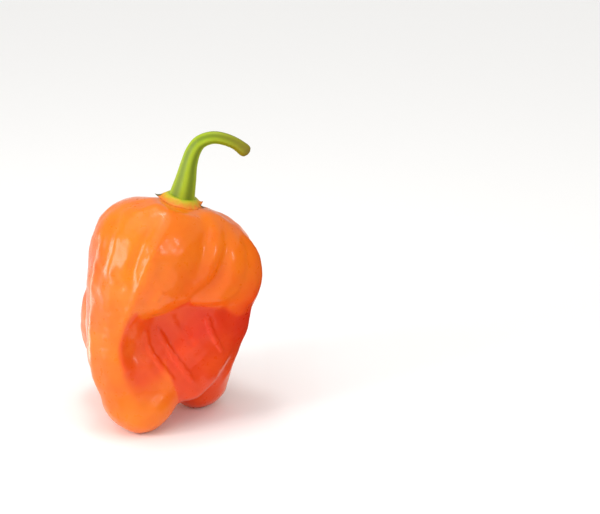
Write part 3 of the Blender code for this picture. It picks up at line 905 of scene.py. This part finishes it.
def stem_material():
    """Fresh pepper stem: satin lime green with paler ridges, olive towards its cut end."""
    material, tree = new_material("Fresh green stem")
    ridge = add_node(tree, "ShaderNodeAttribute", attribute_name="ridge")
    along = add_node(tree, "ShaderNodeAttribute", attribute_name="along")
    place = add_node(tree, "ShaderNodeTexCoord").outputs["Object"]
    stripes = add_node(tree, "ShaderNodeMapRange",
                       {"Value": ridge.outputs["Fac"], "From Min": -1.0, "From Max": 1.0})
    green = add_node(tree, "ShaderNodeValToRGB", {"Fac": stripes.outputs[0]},
                     stops=[(0.0, "#6f8404"), (0.5, "#849a0a"), (1.0, "#9cb01a")])
    end = add_node(tree, "ShaderNodeMapRange",
                   {"Value": along.outputs["Fac"], "From Min": 0.6, "From Max": 1.0})
    mixed = add_node(tree, "ShaderNodeMix",
                     {"Factor": end.outputs[0], "A": green.outputs["Color"], "B": linear("#7c6c02")},
                     data_type="RGBA")
    fine = add_node(tree, "ShaderNodeTexNoise",
                    {"Vector": place, "Scale": scale_for(STEM_GRAIN), "Detail": 3.0, "Roughness": 0.6})
    bump = add_node(tree, "ShaderNodeBump",
                    {"Height": fine.outputs["Fac"], "Strength": 0.3, "Distance": 0.3 * MILLIMETRE})
    shader = add_node(tree, "ShaderNodeBsdfPrincipled",
                      {"Base Color": mixed.outputs["Result"], "Roughness": 0.48, "IOR": 1.38,
                       "Subsurface Weight": 0.1, "Subsurface Radius": (0.6, 1.0, 0.2),
                       "Subsurface Scale": 0.8 * MILLIMETRE, "Normal": bump.outputs["Normal"]})
    add_node(tree, "ShaderNodeOutputMaterial", {"Surface": shader.outputs[0]})
    return material


def floor_material():
    """Matt white paper, so the soft shadow is all that it shows."""
    material, tree = new_material("Matt white paper")
    shader = add_node(tree, "ShaderNodeBsdfPrincipled", {"Base Color": linear("#fdfcfa"), "Roughness": 0.8})
    add_node(tree, "ShaderNodeOutputMaterial", {"Surface": shader.outputs[0]})
    return material


# Stage


def add_floor():
    """A wide pale floor that the pod stands on."""
    bm = bmesh.new()
    bmesh.ops.create_grid(bm, x_segments=1, y_segments=1, size=FLOOR_SIZE * MILLIMETRE / 2)
    mesh = bpy.data.meshes.new("floor")
    bm.to_mesh(mesh)
    bm.free()
    floor = add_object("studio_floor", mesh, floor_material())


def add_card():
    """A warm card beside the pod, seen only in its gloss, that keeps the right flank deep in colour."""
    corners = [(x, y, z) for x, z in CARD_BENDS for y in CARD_REACH]
    faces = [(bend, bend + 1, bend + 3, bend + 2) for bend in range(0, 2 * len(CARD_BENDS) - 2, 2)]
    mesh = bpy.data.meshes.new("card")
    mesh.from_pydata([Vector(corner) * MILLIMETRE for corner in corners], [], faces)
    material, tree = new_material("Matt red card")
    shader = add_node(tree, "ShaderNodeBsdfPrincipled", {"Base Color": linear("#8a1c04"), "Roughness": 0.9})
    add_node(tree, "ShaderNodeOutputMaterial", {"Surface": shader.outputs[0]})
    card = add_object("warm_card", mesh, material)
    card.visible_camera = False
    card.visible_diffuse = False
    card.visible_shadow = False


def aim(item, place, target):
    """Put an object at a place, facing a target."""
    item.location = Vector(place) * MILLIMETRE
    item.rotation_euler = (Vector(target) - Vector(place)).to_track_quat("-Z", "Y").to_euler()


def add_lights():
    """Soft boxes and wide lights round the pod, and an even white surround."""
    for name, entry in LIGHTS.items():
        light = bpy.data.lights.new(name, "AREA")
        light.shape = "RECTANGLE"
        light.size = entry["size"][0] * MILLIMETRE
        light.size_y = entry["size"][1] * MILLIMETRE
        light.energy = entry["power"]
        lamp = bpy.data.objects.new(name, light)
        lamp.visible_camera = False
        lamp.visible_diffuse = not entry["gloss_only"]
        aim(lamp, entry["place"], entry["target"])
        bpy.context.scene.collection.objects.link(lamp)
    for name, entry in SUNS.items():
        light = bpy.data.lights.new(name, "SUN")
        light.energy = entry["power"]
        light.angle = math.radians(entry["angle"])
        lamp = bpy.data.objects.new(name, light)
        aim(lamp, entry["place"], (0, 0, 0))
        bpy.context.scene.collection.objects.link(lamp)
    world = bpy.data.worlds.new("studio surround")
    world.use_nodes = True
    world.node_tree.nodes["Background"].inputs["Color"].default_value = (1.0, 1.0, 1.0, 1.0)
    world.node_tree.nodes["Background"].inputs["Strength"].default_value = WORLD_BRIGHTNESS
    bpy.context.scene.world = world
    bpy.context.scene.view_settings.view_transform = "Standard"


def add_camera():
    """The photograph's view: a long lens, looking a little down."""
    camera_data = bpy.data.cameras.new("camera")
    camera_data.sensor_width = SENSOR_WIDTH
    camera_data.lens = LENS
    camera = bpy.data.objects.new("camera", camera_data)
    tilt = math.radians(CAMERA_ELEVATION)
    back = Vector((0.0, -math.cos(tilt), math.sin(tilt)))
    aim(camera, Vector(CAMERA_TARGET) + back * CAMERA_DISTANCE, CAMERA_TARGET)
    bpy.context.scene.collection.objects.link(camera)
    bpy.context.scene.camera = camera


def main():
    """Dress the frame's three nodes and set up the studio."""
    pieces = [
        (add_fruit(fruit_material()), "fruit", "fruit_skin"),
        (add_calyx(calyx_material()), "calyx", "calyx_skin"),
        (add_stem(stem_material()), "stem", "stem_skin"),
    ]
    for piece, node, slot in pieces:
        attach(piece, "root")
        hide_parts(node)
    add_floor()
    add_card()
    add_lights()
    add_camera()


main()
